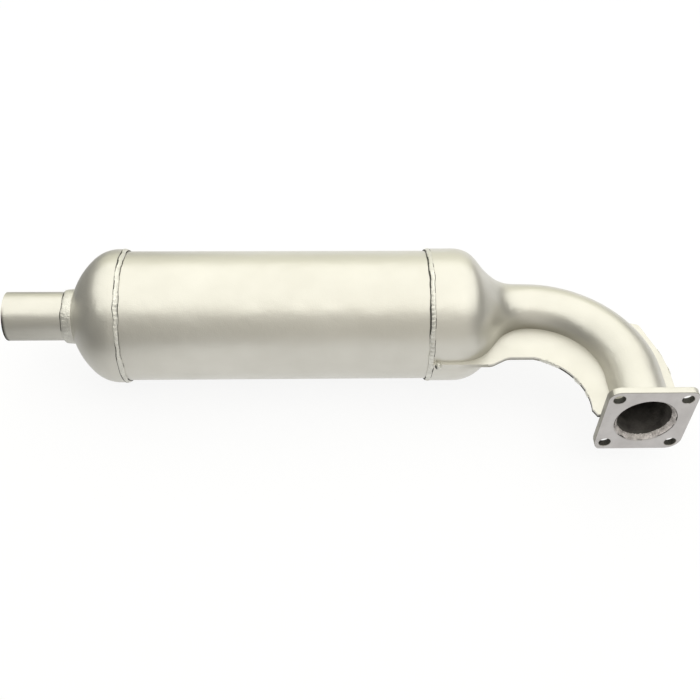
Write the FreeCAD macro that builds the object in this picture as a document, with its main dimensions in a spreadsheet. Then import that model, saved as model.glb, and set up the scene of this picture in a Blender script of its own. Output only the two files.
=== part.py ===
import FreeCAD, Part
import math
import os
from types import SimpleNamespace

import Sketcher
from FreeCAD import Placement, Rotation, Vector

# Welded engine muffler: a straight cylindrical body with a domed outlet end, and an inlet end pressed
# as two half shells that run from the body's shoulder round a quarter bend to a square bolted flange.
#
# Origin: centre of the inlet flange's mating face. The flange faces -Y. The body lies along X, with
# its tail pipe towards -X. Z is up, and the half shells meet on the plane Z = 0. Millimetres.

SIZES = (
    # body shell
    ("shell_radius", 64.0, "outside radius of the rolled body shell"),
    ("shell_sheet", 1.5, "sheet of the body shell"),
    ("seam_spacing", 298.8, "between the edges of the two end caps, along the body"),
    ("shell_lap_left", 7.5, "how far the shell reaches under the outlet cap"),
    ("shell_lap_right", 18.0, "how far the shell reaches under the inlet half shells"),
    ("cap_clearance", 0.2, "radial clearance between the shell and the caps that lap over it"),
    ("cap_sheet", 2.0, "sheet of the outlet cap and of the half shells"),
    # outlet cap and pipe
    ("outlet_skirt", 6.5, "straight skirt of the outlet cap"),
    ("outlet_knuckle", 34.5, "outside radius of the outlet cap's knuckle"),
    ("outlet_depth", 48.8, "depth of the outlet cap's dome, from its skirt to its crown"),
    ("outlet_radius", 24.15, "outside radius of the outlet pipe"),
    ("outlet_sheet", 2.0, "wall of the outlet pipe"),
    ("outlet_reach", 118.2, "from the outlet cap's edge to the open end of the outlet pipe"),
    ("outlet_inside", 130.0, "from the outlet cap's edge to the plugged end of the outlet pipe"),
    ("pipe_clearance", 0.15, "radial clearance of a pipe in the hole that carries it"),
    # inlet half shells
    ("tube_radius", 26.9, "outside radius of the elbow"),
    ("bend_radius", 91.1, "centreline radius of the elbow"),
    ("leg_length", 52.3, "from the flange's mating face to the start of the bend"),
    ("neck_offset", 4.7, "how far the neck lies off the body's axis"),
    ("inlet_skirt", 24.2, "straight skirt of the half shells"),
    ("near_shoulder", 73.9, "length of the shoulder on the inside of the bend"),
    ("far_shoulder", 59.4, "length of the shoulder on the outside of the bend"),
    ("near_knuckle", 41.9, "outside radius of the shoulder's near knuckle"),
    ("near_straight", 11.9, "straight run between the shoulder's two near curves"),
    ("far_knuckle", 26.7, "outside radius of the shoulder's far knuckle"),
    ("far_straight", 0.8, "straight run between the shoulder's two far curves"),
    # seam flange of the half shells
    ("lip_width", 3.2, "seam lip that stands proud of the skirt"),
    ("web_rise", 9.3, "height of the web's crest above the lip, inside the bend"),
    ("web_crest", 25.5, "flat crest of the web, back from the start of the bend"),
    ("web_ramp", 16.0, "run over which the lip rises to the web's crest"),
    ("web_rounding", 14.0, "rounding of the ramp's two corners"),
    ("web_radius", 60.0, "radius of the web's free edge inside the bend"),
    ("web_side", 6.7, "height of the web's side above its foot at the flange"),
    ("web_overhang", 5.3, "how far the web's side stands out past the flange"),
    ("web_inset", 3.7, "how far the web's side slants in to its foot"),
    ("fin_width", 10.0, "seam flange outside the bend, near the bolted flange"),
    ("fin_width_far", 6.5, "seam flange outside the bend, near the neck"),
    ("fin_tangent", 72.0, "angle round the bend where the fin's straight trim starts, degrees"),
    ("fin_corner", 58.5, "angle round the bend of the corner of the fin's trim, degrees"),
    ("fin_end", 55.0, "angle round the bend where the fin's trim ends, degrees"),
    ("fin_rounding", 4.0, "rounding of the fin's corner"),
    ("far_trim_start", 44.4, "from the skirt's end to the start of the far slanted trim"),
    ("far_trim_run", 30.0, "length of the far slanted trim along the body"),
    ("seat_gap", 0.3, "gap between the seam flange and the bolted flange"),
    # bolted flange
    ("flange_side", 82.0, "side of the square flange"),
    ("flange_thickness", 7.0, "thickness of the flange"),
    ("flange_corner", 10.0, "radius of the flange's corners"),
    ("bolt_spacing", 62.0, "between bolt holes, both ways"),
    ("bolt_hole", 5.5, "radius of a bolt hole"),
    ("bore_clearance", 0.4, "radial clearance of the elbow in the flange's bore"),
    ("tube_recess", 5.5, "how far the elbow's end lies behind the mating face"),
    # inner pieces
    ("inner_sheet", 1.5, "sheet of the inlet tube, baffles and plugs"),
    ("inlet_tube_reach", 128.0, "from the half shells' edge to the plugged end of the inlet tube"),
    ("inlet_tube_back", 1.0, "how far the inlet tube stops short of the bend"),
    ("inlet_baffle_place", 78.0, "from the half shells' edge to the inlet baffle"),
    ("outlet_baffle_place", 84.0, "from the outlet cap's edge to the outlet baffle"),
    ("baffle_rim", 13.0, "length of a baffle's turned rim"),
    ("baffle_bend", 4.0, "width of the slanted fold between a baffle and its rim"),
    ("baffle_clearance", 0.15, "radial clearance of a baffle in the shell"),
    ("collar_length", 7.0, "length of a baffle's collar"),
    ("transfer_hole", 8.0, "radius of a baffle's transfer holes"),
    ("transfer_circle", 44.5, "radius of the circle of transfer holes"),
    ("perforation", 5.0, "radius of a perforation"),
    ("perforation_pitch", 17.0, "between rings of perforations"),
    ("inlet_perforation_start", 5.0, "from the half shells' edge to the first ring of perforations"),
    ("outlet_perforation_start", 8.0, "from the outlet cap's edge to the first ring of perforations"),
    ("plug_depth", 8.0, "how far a plug's rim reaches over its tube"),
    ("plug_clearance", 0.1, "radial clearance of a plug on its tube"),
    ("plug_space", 1.0, "space between a tube's end and its plug's face"),
    # welds
    ("lap_weld", 2.8, "leg of the ring welds at the caps' edges, along the shell"),
    ("lap_weld_over", 2.4, "how far those welds lap on to the cap"),
    ("lap_weld_crest", 0.9, "height of those welds above the cap's edge"),
    ("pipe_weld", 11.0, "leg of the outlet pipe's ring weld, along the pipe"),
    ("pipe_weld_up", 3.4, "leg of that weld up the outlet cap"),
    ("pipe_weld_crest", 3.0, "height of that weld's flat crest above the pipe"),
    ("flange_weld", 4.5, "leg of the weld behind the bolted flange"),
    ("bore_weld_rise", 4.5, "how far the weld inside the flange's bore stands off the elbow's end"),
    ("stitch_radius", 2.4, "radius of the stitch welds on the seam flange"),
    ("tack_radius", 2.4, "radius of the tack welds at the ends of the seam lips"),
    ("tack_length", 5.0, "length of those tack welds"),
    ("tack_place", 5.0, "from the half shells' edge to a tack weld"),
    ("seam_weld_radius", 1.9, "radius of the body shell's long seam weld"),
    ("seam_weld_sink", 1.0, "how far the centre of that weld lies inside the shell"),
    ("weld_gap", 0.4, "gap between the ends of the long seam weld and the ring welds"),
)

BAFFLE_HOLES = 6
PERFORATION_RINGS = 4
PERFORATION_STEPS = 2

# Half the angle of each of the two folds between a baffle's disc and its rim, in degrees.
FOLD_HALF = 22.5

# Where the stitch welds lie: angle at which each starts, and how far it runs, in degrees. The web's
# angles go round the web edge's centre from +X, the fin's go round the bend's centre from +X.
WEB_STITCHES = ((9.0, 7.0), (24.0, 10.0), (50.0, 20.0))
FIN_STITCHES = ((1.0, 5.0), (10.0, 7.0))
FAR_FIN_STITCHES = ((52.0, 6.0), (72.0, 7.0))

# Margin by which a cutting shape stands clear of what it cuts.
CLEAR = 50.0


class Length:
    """A size that knows its value and the sheet formula that gives it, so a formula is written once."""

    def __init__(self, text, value):
        self.text = text
        self.value = value

    def __add__(self, other):
        return joined(self, "+", other, lambda a, b: a + b)

    def __radd__(self, other):
        return as_length(other) + self

    def __sub__(self, other):
        return joined(self, "-", other, lambda a, b: a - b)

    def __rsub__(self, other):
        return as_length(other) - self

    def __mul__(self, other):
        return joined(self, "*", other, lambda a, b: a * b)

    def __rmul__(self, other):
        return as_length(other) * self

    def __truediv__(self, other):
        return joined(self, "/", other, lambda a, b: a / b)

    def __neg__(self):
        return as_length(0.0) - self


def as_length(number):
    if isinstance(number, Length):
        return number
    return Length(repr(float(number)), float(number))


def joined(left, sign, right, rule):
    left = as_length(left)
    right = as_length(right)
    return Length(f"({left.text} {sign} {right.text})", rule(left.value, right.value))


def root(a):
    return Length(f"sqrt({a.text})", math.sqrt(a.value))


def sine(angle):
    angle = as_length(angle)
    return Length(f"sin({angle.text})", math.sin(math.radians(angle.value)))


def cosine(angle):
    angle = as_length(angle)
    return Length(f"cos({angle.text})", math.cos(math.radians(angle.value)))


def direction(rise, run):
    """Angle in degrees of a slope."""
    return Length(f"atan2({rise.text}; {run.text})", math.degrees(math.atan2(rise.value, run.value)))


doc = FreeCAD.newDocument("muffler")
sheet = doc.addObject("Spreadsheet::Sheet", "Sizes")


def fill_sheet():
    """Writes the sizes to the sheet and gives them by name, as size.shell_radius."""
    found = SimpleNamespace()
    for row, (alias, value, note) in enumerate(SIZES, start=1):
        sheet.set(f"A{row}", str(value))
        sheet.setAlias(f"A{row}", alias)
        sheet.set(f"B{row}", note)
        setattr(found, alias, Length(f"Sizes.{alias}", value))
    doc.recompute()
    return found


size = fill_sheet()

# Places that follow from the sizes. The body's axis and both cap edges:
axis_y = size.leg_length + size.bend_radius - size.neck_offset
neck_y = size.leg_length + size.bend_radius
bend_x = -size.bend_radius
skirt_end_x = bend_x - size.near_shoulder
inlet_edge_x = skirt_end_x - size.inlet_skirt
outlet_edge_x = inlet_edge_x - size.seam_spacing

shell_inside = size.shell_radius - size.shell_sheet
cap_inside = size.shell_radius + size.cap_clearance
cap_outside = cap_inside + size.cap_sheet
tube_inside = size.tube_radius - size.cap_sheet
flange_bore = size.tube_radius + size.bore_clearance
inlet_tube_radius = tube_inside - size.pipe_clearance
fin_radius = size.bend_radius + size.tube_radius + size.fin_width
fin_radius_far = size.bend_radius + size.tube_radius + size.fin_width_far
lip_radius = cap_outside + size.lip_width
foot_y = size.flange_thickness + size.seat_gap

TOP = "XY_Plane"
FRONT = "XZ_Plane"
SIDE = "YZ_Plane"
ACROSS = Vector(1, 0, 0)
DEEP = Vector(0, 1, 0)
UPRIGHT = Vector(0, 0, 1)


def bind(target, name, length):
    target.setExpression(name, as_length(length).text)


def new_body(label, y=None):
    """An empty body, moved to the axis that it is turned about."""
    body = doc.addObject("PartDesign::Body", label)
    body.Label = label
    if y is not None:
        bind(body, "Placement.Base.y", y)
    return body


def origin_feature(body, role):
    for feature in body.Origin.OriginFeatures:
        if feature.Role == role:
            return feature
    raise RuntimeError(f"{body.Label} has no {role}")


def new_sketch(body, name, role, along=None):
    """A sketch on one of the body's own planes, or moved along that plane's normal."""
    sketch = body.newObject("Sketcher::SketchObject", f"{body.Label}_{name}")
    sketch.AttachmentSupport = (origin_feature(body, role), [""])
    sketch.MapMode = "FlatFace"
    if along is not None:
        bind(sketch, "AttachmentOffset.Base.z", along)
    return sketch


def fix(sketch, kind, items, length):
    """Adds one dimension bound to the sheet. A sketch distance is positive, so its sign picks the order."""
    length = as_length(length)
    index = sketch.addConstraint(Sketcher.Constraint(kind, *items, length.value))
    sketch.setExpression(f"Constraints[{index}]", length.text)


def fix_point(sketch, geometry, end, point):
    fix(sketch, "DistanceX", (-1, 1, geometry, end), point[0])
    fix(sketch, "DistanceY", (-1, 1, geometry, end), point[1])


def add_circle(sketch, x, y, radius):
    x = as_length(x)
    y = as_length(y)
    circle = Part.Circle(Vector(x.value, y.value, 0), UPRIGHT, radius.value)
    geometry = sketch.addGeometry(circle, False)
    fix(sketch, "Radius", (geometry,), radius)
    fix_point(sketch, geometry, 3, (x, y))


def arc_between(start, end, radius, side):
    """The short arc of a radius between two points, bulging to the left (1) or right (-1) of its run."""
    run = end - start
    middle = (start + end) * 0.5
    left = Vector(-run.y, run.x, 0).normalize()
    depth = math.sqrt(max(0.0, radius ** 2 - (run.Length * 0.5) ** 2))
    centre = middle - left * (side * depth)
    crest = centre + left * (side * radius)
    return Part.Arc(start, crest, end)


def add_outline(sketch, corners, closed=True):
    """A chain of lines and arcs. A corner is (x, y), or (x, y, radius, side) where an arc leaves it."""
    points = [(as_length(c[0]), as_length(c[1])) for c in corners]
    places = [Vector(x.value, y.value, 0) for x, y in points]
    count = len(corners) if closed else len(corners) - 1
    chain = []
    for i in range(count):
        start = places[i]
        end = places[(i + 1) % len(places)]
        if len(corners[i]) > 2:
            radius = as_length(corners[i][2])
            side = corners[i][3]
            geometry = sketch.addGeometry(arc_between(start, end, radius.value, side), False)
            first = sketch.getPoint(geometry, 1)
            forward = (first - start).Length < (first - end).Length
            fix(sketch, "Radius", (geometry,), radius)
        else:
            geometry = sketch.addGeometry(Part.LineSegment(start, end), False)
            forward = True
        chain.append((geometry, 1 if forward else 2, 2 if forward else 1))
    for i, (geometry, head, tail) in enumerate(chain):
        fix_point(sketch, geometry, head, points[i])
        if i + 1 < len(chain) or closed:
            following = chain[(i + 1) % len(chain)]
            sketch.addConstraint(
                Sketcher.Constraint("Coincident", geometry, tail, following[0], following[1])
            )
    if not closed:
        geometry, head, tail = chain[-1]
        fix_point(sketch, geometry, tail, points[-1])
    return chain


def turned(body, name, corners, axis="X_Axis"):
    """Material turned about one of the body's own axes from a closed half section."""
    sketch = new_sketch(body, name + "_section", TOP)
    add_outline(sketch, corners)
    feature = body.newObject("PartDesign::Revolution", f"{body.Label}_{name}")
    feature.Profile = sketch
    feature.ReferenceAxis = (origin_feature(body, axis), [""])
    feature.Angle = 360


def cut_through(body, name, sketch):
    """Cuts the sketch right through, both ways."""
    feature = body.newObject("PartDesign::Pocket", f"{body.Label}_{name}")
    feature.Profile = sketch
    feature.Type = "ThroughAll"
    feature.SideType = "Symmetric"
    return feature


def padded(body, name, sketch, length, reverse=False):
    feature = body.newObject("PartDesign::Pad", f"{body.Label}_{name}")
    feature.Profile = sketch
    feature.Reversed = reverse
    bind(feature, "Length", length)
    return feature


def turned_pattern(body, name, original, count, sweep):
    """Copies of a cut round the body's X axis."""
    feature = body.newObject("PartDesign::PolarPattern", f"{body.Label}_{name}")
    feature.Originals = [original]
    feature.Axis = (origin_feature(body, "X_Axis"), [""])
    feature.Angle = sweep
    feature.Occurrences = count
    body.Tip = feature
    return feature


pieces = []


def keep(piece):
    pieces.append(piece)
    return piece


# Body shell: a rolled cylinder, seam-welded along the side away from the elbow.
def make_body_shell():
    body = new_body("body_shell", axis_y)
    left = outlet_edge_x - size.shell_lap_left
    right = inlet_edge_x + size.shell_lap_right
    turned(body, "wall", (
        (left, shell_inside),
        (right, shell_inside),
        (right, size.shell_radius),
        (left, size.shell_radius),
    ))
    return keep(body)


# Outlet cap: a pressed dome of one crown and one knuckle radius, with a short skirt over the shell.
def dome_points(depth):
    """Where the dome's arcs start and end at a depth inside its outer surface, from skirt to hole."""
    height = cap_outside - size.outlet_knuckle
    deeper = size.outlet_depth - size.outlet_knuckle
    squares = size.outlet_depth * size.outlet_depth + height * height
    crown_radius = (squares - size.outlet_knuckle * size.outlet_knuckle) / (2.0 * deeper)
    knuckle = size.outlet_knuckle - depth
    crown = crown_radius - depth
    skirt_end = outlet_edge_x - size.outlet_skirt
    step = crown_radius - size.outlet_knuckle
    centre = skirt_end - size.outlet_depth + crown_radius
    reach = centre - skirt_end
    hole = size.outlet_radius + size.pipe_clearance
    return {
        "skirt": (outlet_edge_x, height + knuckle),
        "knuckle": (skirt_end, height + knuckle),
        "crown": (centre - crown * reach / step, crown * height / step),
        "hole": (centre - root(crown * crown - hole * hole), hole),
        "knuckle_radius": knuckle,
        "crown_radius": crown,
        "crown_centre": centre,
    }


def make_outlet_end_cap():
    body = new_body("outlet_end_cap", axis_y)
    outer = dome_points(as_length(0.0))
    inner = dome_points(size.cap_sheet)
    turned(body, "dome", (
        outer["skirt"],
        (*outer["knuckle"], outer["knuckle_radius"], -1),
        (*outer["crown"], outer["crown_radius"], -1),
        outer["hole"],
        (*inner["hole"], inner["crown_radius"], 1),
        (*inner["crown"], inner["knuckle_radius"], 1),
        inner["knuckle"],
        inner["skirt"],
    ))
    return keep(body)


# Tubes, with rings of perforations where the gas leaves or enters them inside the body.
def make_tube(label, y, left, right, outside, wall, first_ring, ring_step):
    body = new_body(label, y)
    turned(body, "wall", (
        (left, outside - wall),
        (right, outside - wall),
        (right, outside),
        (left, outside),
    ))
    sketch = new_sketch(body, "holes", TOP)
    for ring in range(PERFORATION_RINGS):
        add_circle(sketch, first_ring + ring * ring_step, 0.0, size.perforation)
    cut = cut_through(body, "perforation", sketch)
    turned_pattern(body, "perforations", cut, PERFORATION_STEPS, 180.0 - 180.0 / PERFORATION_STEPS)
    return keep(body)


def make_outlet_pipe():
    start = outlet_edge_x + size.outlet_perforation_start
    return make_tube(
        "outlet_pipe",
        axis_y,
        outlet_edge_x - size.outlet_reach,
        outlet_edge_x + size.outlet_inside,
        size.outlet_radius,
        size.outlet_sheet,
        start,
        size.perforation_pitch,
    )


def make_inlet_tube():
    start = inlet_edge_x - size.inlet_perforation_start
    return make_tube(
        "inlet_tube",
        neck_y,
        inlet_edge_x - size.inlet_tube_reach,
        bend_x - size.inlet_tube_back,
        inlet_tube_radius,
        size.inner_sheet,
        start,
        -size.perforation_pitch,
    )


# A plug is a shallow cup pressed over a tube's end.
def make_plug(label, y, tube_end, inward, outside):
    body = new_body(label, y)
    seat = outside + size.plug_clearance
    mouth = tube_end + inward * size.plug_depth
    face = tube_end - inward * size.plug_space
    back = face - inward * size.inner_sheet
    turned(body, "cup", (
        (mouth, seat),
        (mouth, seat + size.inner_sheet),
        (back, seat + size.inner_sheet),
        (back, as_length(0.0)),
        (face, as_length(0.0)),
        (face, seat),
    ))
    return keep(body)


# A baffle is a pressed disc with a turned rim, a collar round its tube and a ring of holes.
def make_baffle(label, place, toward, tube_outside, offset):
    body = new_body(label, axis_y)
    outside = shell_inside - size.baffle_clearance
    bend = size.baffle_bend
    inner_bend = bend + size.inner_sheet * sine(FOLD_HALF) / cosine(FOLD_HALF)
    back = place
    front = place + toward * size.inner_sheet
    end = place + toward * size.baffle_rim
    turned(body, "disc", (
        (back, as_length(0.0)),
        (back, outside - bend),
        (back + toward * bend, outside),
        (end, outside),
        (end, outside - size.inner_sheet),
        (back + toward * inner_bend, outside - size.inner_sheet),
        (front, outside - inner_bend),
        (front, as_length(0.0)),
    ))
    hole = tube_outside + size.pipe_clearance
    collar = new_sketch(body, "collar_ring", SIDE, back)
    add_circle(collar, offset, 0.0, hole + size.inner_sheet)
    padded(body, "collar", collar, size.collar_length, reverse=toward < 0)
    doc.recompute()
    opening = new_sketch(body, "opening_ring", SIDE, back)
    add_circle(opening, offset, 0.0, hole)
    cut_through(body, "opening", opening)
    transfer = new_sketch(body, "transfer_ring", SIDE, back)
    add_circle(transfer, 0.0, size.transfer_circle, size.transfer_hole)
    cut = cut_through(body, "transfer", transfer)
    turned_pattern(body, "transfers", cut, BAFFLE_HOLES, 360)
    return keep(body)


# Inlet half shells: the skirt, the shoulder that narrows off centre into the neck, and the elbow.
def shoulder_height(along, near, depth):
    """Height of the shoulder above the body's axis at a distance from the skirt's end.

    The profile is a knuckle arc, a short straight run and a reverse arc into the neck, all tangent.
    """
    length = size.near_shoulder if near else size.far_shoulder
    straight = size.near_straight if near else size.far_straight
    knuckle = (size.near_knuckle if near else size.far_knuckle) - depth
    neck = size.tube_radius - depth
    neck = neck - size.neck_offset if near else neck + size.neck_offset
    skirt = cap_outside - depth
    drop = skirt - neck
    both = (length * length + drop * drop - straight * straight) / (2.0 * drop)
    reverse = both - knuckle
    slope = direction(length, both - drop) - direction(straight, both)
    knuckle_end = knuckle * sine(slope)
    reverse_start = length - reverse * sine(slope)
    if along.value <= 0:
        return skirt
    if along.value <= knuckle_end.value:
        return skirt - knuckle + root(knuckle * knuckle - along * along)
    if along.value < reverse_start.value:
        fall = (along - knuckle_end) * sine(slope) / cosine(slope)
        return skirt - knuckle + knuckle * cosine(slope) - fall
    if along.value < length.value:
        left = length - along
        return neck + reverse - root(reverse * reverse - left * left)
    return neck


# Where the shoulder's round sections lie, as shares of its length. The first lie in the skirt.
SHOULDER_SHARES = (
    -0.12, -0.06, 0.0, 0.06, 0.14, 0.22, 0.31, 0.41, 0.51, 0.61, 0.71, 0.8, 0.88, 0.95, 1.0,
)


def shoulder_sections(body, word, depth):
    sketches = []
    for i, share in enumerate(SHOULDER_SHARES):
        along = share * size.near_shoulder
        near = shoulder_height(along, True, depth)
        far = shoulder_height(along, False, depth)
        sketch = new_sketch(body, f"{word}_shoulder_{i}", SIDE, skirt_end_x + along)
        add_circle(sketch, axis_y + (far - near) / 2.0, 0.0, (far + near) / 2.0)
        sketches.append(sketch)
    return sketches


def elbow_path(body, word, end_y):
    path = new_sketch(body, f"{word}_elbow_path", TOP)
    add_outline(path, (
        (bend_x, neck_y, size.bend_radius, 1),
        (as_length(0.0), size.leg_length),
        (as_length(0.0), end_y),
    ), closed=False)
    return path


def add_duct(body, inside):
    """The round duct from the skirt's edge to the flange: its outside is added, its inside is cut."""
    word = "inside" if inside else "outside"
    kind = "Subtractive" if inside else "Additive"
    depth = size.cap_sheet if inside else as_length(0.0)
    past_end = depth if inside else as_length(0.0)
    start = inlet_edge_x - past_end
    skirt = new_sketch(body, f"{word}_skirt_ring", SIDE, start)
    add_circle(skirt, axis_y, 0.0, cap_outside - depth)
    skirt_length = skirt_end_x + SHOULDER_SHARES[0] * size.near_shoulder - start
    if inside:
        cut = body.newObject("PartDesign::Pocket", f"{body.Label}_skirt_bore")
        cut.Profile = skirt
        cut.Reversed = True
        bind(cut, "Length", skirt_length)
    else:
        padded(body, "skirt", skirt, skirt_length)
    sections = shoulder_sections(body, word, depth)
    loft = body.newObject(f"PartDesign::{kind}Loft", f"{body.Label}_shoulder_{word}")
    loft.Profile = sections[0]
    loft.Sections = sections[1:]
    doc.recompute()
    ring = new_sketch(body, f"{word}_elbow_ring", SIDE, bend_x)
    add_circle(ring, neck_y, 0.0, size.tube_radius - depth)
    pipe = body.newObject(f"PartDesign::{kind}Pipe", f"{body.Label}_elbow_{word}")
    pipe.Profile = ring
    pipe.Spine = elbow_path(body, word, size.tube_recess - past_end)
    pipe.Mode = "Frenet"
    doc.recompute()


def rounded(before, corner, after, radius):
    """Where a rounding of a corner starts and ends, on the lines from the points before and after it."""
    def unit(target):
        run_x = target[0] - corner[0]
        run_y = target[1] - corner[1]
        length = root(run_x * run_x + run_y * run_y)
        return run_x / length, run_y / length
    ax, ay = unit(before)
    bx, by = unit(after)
    turn = ax * bx + ay * by
    setback = radius * root((1.0 + turn) / (1.0 - turn))
    start = (corner[0] + ax * setback, corner[1] + ay * setback)
    end = (corner[0] + bx * setback, corner[1] + by * setback)
    return start, end


def round_bend(radius, angle):
    """A point on a circle round the bend's centre, by its angle from +Y towards +X."""
    return bend_x + radius * sine(angle), size.leg_length + radius * cosine(angle)


def web_edge():
    """Ends of the curved edge that the web has inside the bend."""
    crest = (bend_x, axis_y - lip_radius + size.web_rise)
    side = (-size.flange_side / 2.0 - size.web_overhang, foot_y + size.web_side)
    return crest, side


def seam_outline():
    """The seam flange's free edge, from the near skirt edge round the web and back along the fin."""
    lip_near = axis_y - lip_radius
    lip_far = axis_y + lip_radius
    crest, side = web_edge()
    crest_start = (crest[0] - size.web_crest, crest[1])
    ramp_start = (crest_start[0] - size.web_ramp, lip_near)
    lip_start = (inlet_edge_x, lip_near)
    low_start, low_end = rounded(lip_start, ramp_start, crest_start, size.web_rounding)
    high_start, high_end = rounded(ramp_start, crest_start, crest, size.web_rounding)
    fin_x = bend_x + fin_radius
    tangent = round_bend(fin_radius, size.fin_tangent)
    corner = round_bend(fin_radius / cosine(size.fin_tangent - size.fin_corner), size.fin_corner)
    trim_end = round_bend(fin_radius_far, size.fin_end)
    round_start, round_end = rounded(tangent, corner, trim_end, size.fin_rounding)
    neck_fin_y = size.leg_length + fin_radius_far
    far_trim_x = skirt_end_x + size.far_trim_start
    return (
        lip_start,
        (*low_start, size.web_rounding, -1),
        low_end,
        (*high_start, size.web_rounding, 1),
        high_end,
        (*crest, size.web_radius, 1),
        side,
        (side[0] + size.web_inset, foot_y),
        (fin_x, foot_y),
        (fin_x, size.leg_length, fin_radius, -1),
        tangent,
        (*round_start, size.fin_rounding, -1),
        round_end,
        (*trim_end, fin_radius_far, -1),
        (bend_x, neck_fin_y),
        (far_trim_x, neck_fin_y),
        (far_trim_x - size.far_trim_run, lip_far),
        (inlet_edge_x, lip_far),
    )


def make_upper_half_shell():
    body = new_body("inlet_half_shell_upper")
    add_duct(body, inside=False)
    outline = new_sketch(body, "seam_edge", TOP)
    add_outline(outline, seam_outline())
    padded(body, "seam_flange", outline, size.cap_sheet)
    doc.recompute()
    below = new_sketch(body, "lower_half", TOP)
    add_outline(below, (
        (inlet_edge_x - CLEAR, -CLEAR),
        (bend_x + fin_radius + CLEAR, -CLEAR),
        (bend_x + fin_radius + CLEAR, axis_y + lip_radius + CLEAR),
        (inlet_edge_x - CLEAR, axis_y + lip_radius + CLEAR),
    ))
    parting = body.newObject("PartDesign::Pocket", f"{body.Label}_parting")
    parting.Profile = below
    parting.Reversed = False
    bind(parting, "Length", lip_radius + CLEAR)
    doc.recompute()
    add_duct(body, inside=True)
    return keep(body)


def make_lower_half_shell(upper):
    mirror = doc.addObject("Part::Mirroring", "inlet_half_shell_lower")
    mirror.Label = "inlet_half_shell_lower"
    mirror.Source = upper
    mirror.Normal = UPRIGHT
    return keep(mirror)


# Bolted flange: a square plate with rounded corners, a bore for the elbow and four bolt holes.
def make_flange():
    body = new_body("inlet_flange")
    half = size.flange_side / 2.0
    inner = half - size.flange_corner
    radius = size.flange_corner
    plate = new_sketch(body, "plate", FRONT)
    add_outline(plate, (
        (-inner, -half),
        (inner, -half, radius, -1),
        (half, -inner),
        (half, inner, radius, -1),
        (inner, half),
        (-inner, half, radius, -1),
        (-half, inner),
        (-half, -inner, radius, -1),
    ))
    padded(body, "thickness", plate, size.flange_thickness, reverse=True)
    doc.recompute()
    holes = new_sketch(body, "bore_and_bolts", FRONT)
    add_circle(holes, 0.0, 0.0, flange_bore)
    for side in (-1, 1):
        for level in (-1, 1):
            add_circle(holes, side * size.bolt_spacing / 2.0, level * size.bolt_spacing / 2.0, size.bolt_hole)
    cut_through(body, "openings", holes)
    return keep(body)


# Ring welds at the caps' edges: they fill the step from the cap down to the shell.
def make_lap_weld(label, edge, toward_cap, notched):
    body = new_body(label, axis_y)
    turned(body, "bead", (
        (edge - toward_cap * size.lap_weld, size.shell_radius),
        (edge, size.shell_radius),
        (edge, cap_outside),
        (edge + toward_cap * size.lap_weld_over, cap_outside),
        (edge, cap_outside + size.lap_weld_crest),
    ))
    if notched:
        doc.recompute()
        notch = new_sketch(body, "lip_notch", FRONT)
        add_outline(notch, (
            (edge, -size.cap_sheet),
            (edge + CLEAR, -size.cap_sheet),
            (edge + CLEAR, size.cap_sheet),
            (edge, size.cap_sheet),
        ))
        cut_through(body, "notches", notch)
    return keep(body)


# Ring weld in the corner between the outlet pipe and the dome.
def make_outlet_pipe_weld():
    body = new_body("outlet_pipe_weld", axis_y)
    dome = dome_points(as_length(0.0))
    hole_x, hole_radius = dome["hole"]
    up_radius = hole_radius + size.pipe_weld_up
    crown = dome["crown_radius"]
    up_x = dome["crown_centre"] - root(crown * crown - up_radius * up_radius)
    turned(body, "bead", (
        (hole_x - size.pipe_weld, size.outlet_radius),
        (hole_x, size.outlet_radius),
        (hole_x, hole_radius, crown, 1),
        (up_x, up_radius),
        (hole_x - size.pipe_weld / 2.0, size.outlet_radius + size.pipe_weld_crest),
    ))
    return keep(body)


# Weld behind the flange: a fillet round the elbow, notched where the seam flange comes down.
def make_flange_weld():
    body = new_body("flange_weld")
    back = size.flange_thickness
    radius = size.tube_radius
    turned(body, "bead", (
        (radius, back),
        (radius + size.flange_weld, back),
        (radius, back + size.flange_weld),
    ), axis="Y_Axis")
    doc.recompute()
    notch = new_sketch(body, "web_notch", FRONT, -foot_y)
    reach = radius + CLEAR
    add_outline(notch, (
        (-reach, -size.cap_sheet),
        (reach, -size.cap_sheet),
        (reach, size.cap_sheet),
        (-reach, size.cap_sheet),
    ))
    cut = body.newObject("PartDesign::Pocket", "flange_weld_notches")
    cut.Profile = notch
    cut.Reversed = False
    bind(cut, "Length", size.flange_weld)
    return keep(body)


# Weld inside the flange's bore, on the elbow's end.
def make_bore_weld():
    body = new_body("flange_bore_weld")
    seat = size.tube_recess
    turned(body, "bead", (
        (tube_inside + size.bore_clearance, seat),
        (flange_bore, seat),
        (flange_bore, seat - size.bore_weld_rise),
    ), axis="Y_Axis")
    return keep(body)


def arc_centre(start, end, radius):
    """Centre of an arc that bulges to the left of its run from start to end."""
    run_x = end[0] - start[0]
    run_y = end[1] - start[1]
    run = root(run_x * run_x + run_y * run_y)
    depth = root(radius * radius - run * run / 4.0)
    return (
        (start[0] + end[0]) / 2.0 + run_y / run * depth,
        (start[1] + end[1]) / 2.0 - run_x / run * depth,
    )


def put(thing, x, y, z=0.0):
    bind(thing, "Placement.Base.x", x)
    bind(thing, "Placement.Base.y", y)
    bind(thing, "Placement.Base.z", z)


def cut_from(label, base, tool):
    result = doc.addObject("Part::Cut", label)
    result.Base = base
    result.Tool = tool
    return result


def group(label, members):
    result = doc.addObject("Part::Compound", label)
    result.Label = label
    result.Links = members
    return result


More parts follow.
